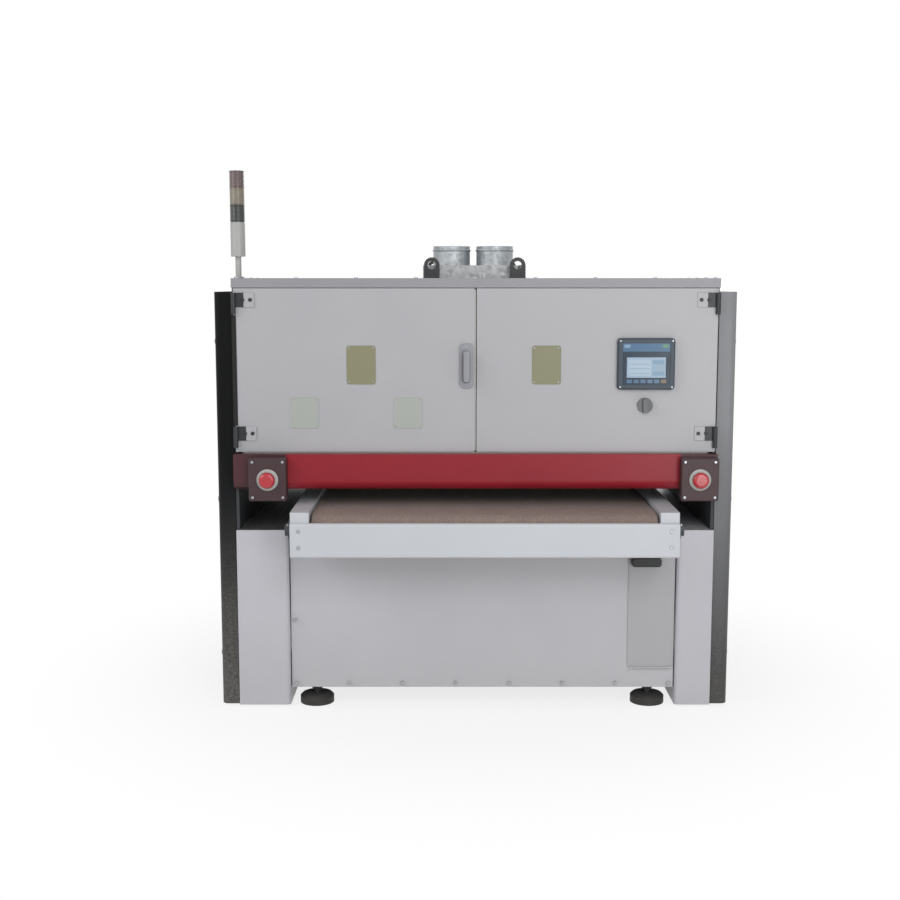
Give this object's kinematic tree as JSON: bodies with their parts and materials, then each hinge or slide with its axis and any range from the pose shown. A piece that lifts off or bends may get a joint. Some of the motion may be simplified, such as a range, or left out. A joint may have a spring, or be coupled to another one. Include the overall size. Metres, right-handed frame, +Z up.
{
  "type": "brush sanding machine",
  "caption": "Wide floor-standing brush sander: a feed belt on a lifting table carries boards under slit abrasive brush rollers in a grey cabinet with a red front beam.",
  "frame": {"origin": "on the floor, under the middle of the machine", "axes": "+X to the right seen from the infeed side, -Y towards the operator at the infeed, +Z up"},
  "size_m": [1.944, 1.63, 2.028],
  "materials": {
    "cabinet_paint": "satin light grey powder coat",
    "column_paint": "satin off-white powder coat",
    "side_paint": "textured charcoal powder coat",
    "beam_paint": "semi-gloss deep red enamel",
    "frame_paint": "matt dark grey structural paint",
    "machine_steel": "ground machine steel",
    "motor_paint": "grey-blue motor enamel",
    "cast_housing": "painted cast iron",
    "galvanised": "galvanised duct sheet",
    "core_alloy": "extruded aluminium",
    "brush_fibre": "abrasive cloth strips backed by fibre",
    "drive_rubber": "black rubber drive belt",
    "press_rubber": "ground rubber roller cover",
    "feed_rubber": "grey-brown rubber feed belt",
    "foot_rubber": "black rubber mount",
    "black_steel": "black oxide steel",
    "black_plastic": "moulded black polyamide",
    "handle_zinc": "satin zinc casting",
    "stop_red": "moulded red plastic",
    "bezel_grey": "moulded blue-grey plastic",
    "screen_glass": "touch screen front",
    "tower_grey": "moulded pale grey plastic",
    "lens_red": "unlit red lens",
    "lens_amber": "unlit amber lens",
    "lens_green": "unlit green lens"
  },
  "bodies": {
    "cabinet": {"side_frames": "frame_paint", "base_boxes": "column_paint", "cross_beams": "frame_paint", "levelling_feet": "foot_rubber", "base_front_panel": "cabinet_paint", "base_rear_panel": "cabinet_paint", "roof_panel": "cabinet_paint", "front_beam": "beam_paint", "rear_panel": "cabinet_paint", "motor_shelf": "frame_paint", "brush_motors": "motor_paint", "brush_hoods": "galvanised", "dust_plenum": "galvanised", "dust_spigots": "galvanised", "lifting_eyes": "black_steel", "drive_belts": "drive_rubber", "brush_bearings": "cast_housing", "lift_jacks": "cast_housing", "press_guides": "machine_steel", "tower_stem": "tower_grey", "tower_green_lens": "lens_green", "tower_amber_lens": "lens_amber", "tower_red_lens": "lens_red", "estop_boxes": "black_plastic", "hinges": "black_steel", "control_panel": "tower_grey"},
    "table": {"table_rails": "column_paint", "table_bed": "machine_steel", "conveyor_belt": "feed_rubber", "roller_bearings": "cast_housing", "conveyor_gearmotor": "motor_paint", "table_end_covers": "column_paint", "lift_screws": "machine_steel"},
    "drive_roller": {"drive_roller": "machine_steel"},
    "idler_roller": {"idler_roller": "machine_steel"},
    "front_brush": {"front_brush_core": "core_alloy", "front_brush_strips": "brush_fibre", "front_brush_pulley": "cast_housing"},
    "rear_brush": {"rear_brush_core": "core_alloy", "rear_brush_strips": "brush_fibre", "rear_brush_pulley": "cast_housing"},
    "front_motor_pulley": {"front_motor_pulley": "cast_housing"},
    "rear_motor_pulley": {"rear_motor_pulley": "cast_housing"},
    "infeed_press": {"infeed_press_beam": "frame_paint"},
    "outfeed_press": {"outfeed_press_beam": "frame_paint"},
    "infeed_press_roller": {"infeed_press_roller": "press_rubber"},
    "outfeed_press_roller": {"outfeed_press_roller": "press_rubber"},
    "left_front_door": {"left_front_door": "cabinet_paint", "handle_plate": "handle_zinc"},
    "right_front_door": {"right_front_door": "cabinet_paint", "hmi_bezel": "bezel_grey", "hmi_screen": "screen_glass"},
    "door_handle": {"door_handle": "handle_zinc"},
    "main_switch": {"main_switch": "black_plastic"},
    "left_side_door": {"left_side_door": "side_paint"},
    "right_side_door": {"right_side_door": "side_paint"},
    "service_hatch": {"service_hatch": "cabinet_paint", "hatch_handle": "black_plastic"},
    "left_estop_button": {"left_estop_button": "stop_red"},
    "right_estop_button": {"right_estop_button": "stop_red"}
  },
  "joints": [
    {"name": "table_lift", "type": "slide", "parent": "cabinet", "child": "table", "axis": [0, 0, 1], "range_m": [-0.045, 0.045]},
    {"name": "drive_roller_spin", "type": "hinge", "parent": "table", "child": "drive_roller", "pos_m": [0, 0.735, 0.7257], "axis": [1, 0, 0], "continuous": true},
    {"name": "idler_roller_spin", "type": "hinge", "parent": "table", "child": "idler_roller", "pos_m": [0, -0.735, 0.7257], "axis": [1, 0, 0], "continuous": true},
    {"name": "front_brush_spin", "type": "hinge", "parent": "cabinet", "child": "front_brush", "pos_m": [0, -0.24, 0.99], "axis": [1, 0, 0], "continuous": true},
    {"name": "rear_brush_spin", "type": "hinge", "parent": "cabinet", "child": "rear_brush", "pos_m": [0, 0.24, 0.99], "axis": [1, 0, 0], "continuous": true},
    {"name": "front_motor_spin", "type": "hinge", "parent": "cabinet", "child": "front_motor_pulley", "pos_m": [0, -0.24, 1.339], "axis": [1, 0, 0], "continuous": true},
    {"name": "rear_motor_spin", "type": "hinge", "parent": "cabinet", "child": "rear_motor_pulley", "pos_m": [0, 0.24, 1.339], "axis": [1, 0, 0], "continuous": true},
    {"name": "infeed_press_float", "type": "slide", "parent": "cabinet", "child": "infeed_press", "axis": [0, 0, 1], "range_m": [0, 0.012], "stiffness_N_per_m": 6000, "springref_m": -0.02},
    {"name": "outfeed_press_float", "type": "slide", "parent": "cabinet", "child": "outfeed_press", "axis": [0, 0, 1], "range_m": [0, 0.012], "stiffness_N_per_m": 6000, "springref_m": -0.02},
    {"name": "infeed_roller_spin", "type": "hinge", "parent": "infeed_press", "child": "infeed_press_roller", "pos_m": [0, -0.47, 0.881], "axis": [1, 0, 0], "continuous": true},
    {"name": "outfeed_roller_spin", "type": "hinge", "parent": "outfeed_press", "child": "outfeed_press_roller", "pos_m": [0, 0.47, 0.881], "axis": [1, 0, 0], "continuous": true},
    {"name": "left_front_door_hinge", "type": "hinge", "parent": "cabinet", "child": "left_front_door", "pos_m": [-0.894, -0.58, 1.3], "axis": [0, 0, -1], "range_deg": [0, 110]},
    {"name": "right_front_door_hinge", "type": "hinge", "parent": "cabinet", "child": "right_front_door", "pos_m": [0.894, -0.58, 1.3], "axis": [0, 0, 1], "range_deg": [0, 110]},
    {"name": "door_handle_turn", "type": "hinge", "parent": "left_front_door", "child": "door_handle", "pos_m": [-0.034, -0.58, 1.357], "axis": [0, 1, 0], "range_deg": [0, 90]},
    {"name": "main_switch_turn", "type": "hinge", "parent": "right_front_door", "child": "main_switch", "pos_m": [0.631, -0.58, 1.165], "axis": [0, 1, 0], "range_deg": [0, 90]},
    {"name": "left_side_door_hinge", "type": "hinge", "parent": "cabinet", "child": "left_side_door", "pos_m": [-0.947, 0.56, 0.8], "axis": [0, 0, -1], "range_deg": [0, 100]},
    {"name": "right_side_door_hinge", "type": "hinge", "parent": "cabinet", "child": "right_side_door", "pos_m": [0.947, 0.56, 0.8], "axis": [0, 0, 1], "range_deg": [0, 100]},
    {"name": "hatch_tilt", "type": "hinge", "parent": "cabinet", "child": "service_hatch", "pos_m": [0.673, -0.549, 0.151], "axis": [1, 0, 0], "range_deg": [0, 90]},
    {"name": "left_estop_press", "type": "slide", "parent": "cabinet", "child": "left_estop_button", "axis": [0, 1, 0], "range_m": [0, 0.005], "stiffness_N_per_m": 1500, "springref_m": -0.002},
    {"name": "right_estop_press", "type": "slide", "parent": "cabinet", "child": "right_estop_button", "axis": [0, 1, 0], "range_m": [0, 0.005], "stiffness_N_per_m": 1500, "springref_m": -0.002}
  ],
  "couplings": [
    {"joint": "idler_roller_spin", "follows": "drive_roller_spin", "ratio": 1},
    {"joint": "front_motor_spin", "follows": "front_brush_spin", "ratio": 1.3333},
    {"joint": "rear_motor_spin", "follows": "rear_brush_spin", "ratio": 1.3333}
  ]
}
